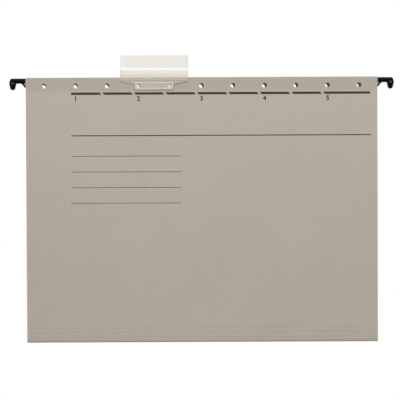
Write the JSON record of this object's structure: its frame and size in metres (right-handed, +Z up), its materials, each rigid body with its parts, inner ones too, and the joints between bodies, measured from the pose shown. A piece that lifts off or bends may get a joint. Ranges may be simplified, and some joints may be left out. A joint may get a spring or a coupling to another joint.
{
  "type": "hanging file folder",
  "caption": "Hanging file folder of creased recycled board with hooked steel rails in its hems, a base that folds open at both bottom edges, and a clear plug-in index tab with a paper label.",
  "frame": {"origin": "middle of the flat base strip's underside, at the lowest point of the closed folder", "axes": "+X along the rails to the right as seen from the front, +Y from the front panel to the rear panel, +Z up"},
  "size_m": [0.348, 0.0125, 0.2603],
  "materials": {
    "board": "matte",
    "glue": "satin",
    "rail_steel": "satin",
    "hook_plastic": "satin",
    "tab_plastic": "gloss",
    "label_paper": "matte"
  },
  "bodies": {
    "rear_half": {"rear_panel": "board", "rear_hem_bend": "board", "rear_hem_flap": "board", "rear_hem_glue": "glue", "rear_rail": "rail_steel", "rear_left_hook": "hook_plastic", "rear_right_hook": "hook_plastic", "rear_strip_upper": "board", "rear_strip_middle": "board", "rear_strip_lower": "board"},
    "base": {"base_strip": "board"},
    "front_half": {"front_panel": "board", "front_hem_bend": "board", "front_hem_flap": "board", "front_hem_glue": "glue", "front_rail": "rail_steel", "front_left_hook": "hook_plastic", "front_right_hook": "hook_plastic", "front_strip_upper": "board", "front_strip_middle": "board", "front_strip_lower": "board"},
    "tab": {"tab_holder": "tab_plastic"},
    "label": {"tab_label": "label_paper"}
  },
  "joints": [
    {"name": "rear_base_fold", "type": "hinge", "parent": "rear_half", "child": "base", "pos_m": [0, 0.00435, 0], "axis": [1, 0, 0], "range_deg": [0, 90]},
    {"name": "front_base_fold", "type": "hinge", "parent": "base", "child": "front_half", "pos_m": [0, -0.00435, 0], "axis": [1, 0, 0], "range_deg": [0, 90]},
    {"name": "tab_pull", "type": "slide", "parent": "front_half", "child": "tab", "axis": [0, -1, 0], "range_m": [0, 0.012]},
    {"name": "label_slide", "type": "slide", "parent": "tab", "child": "label", "axis": [1, 0, 0], "range_m": [0, 0.06]}
  ]
}
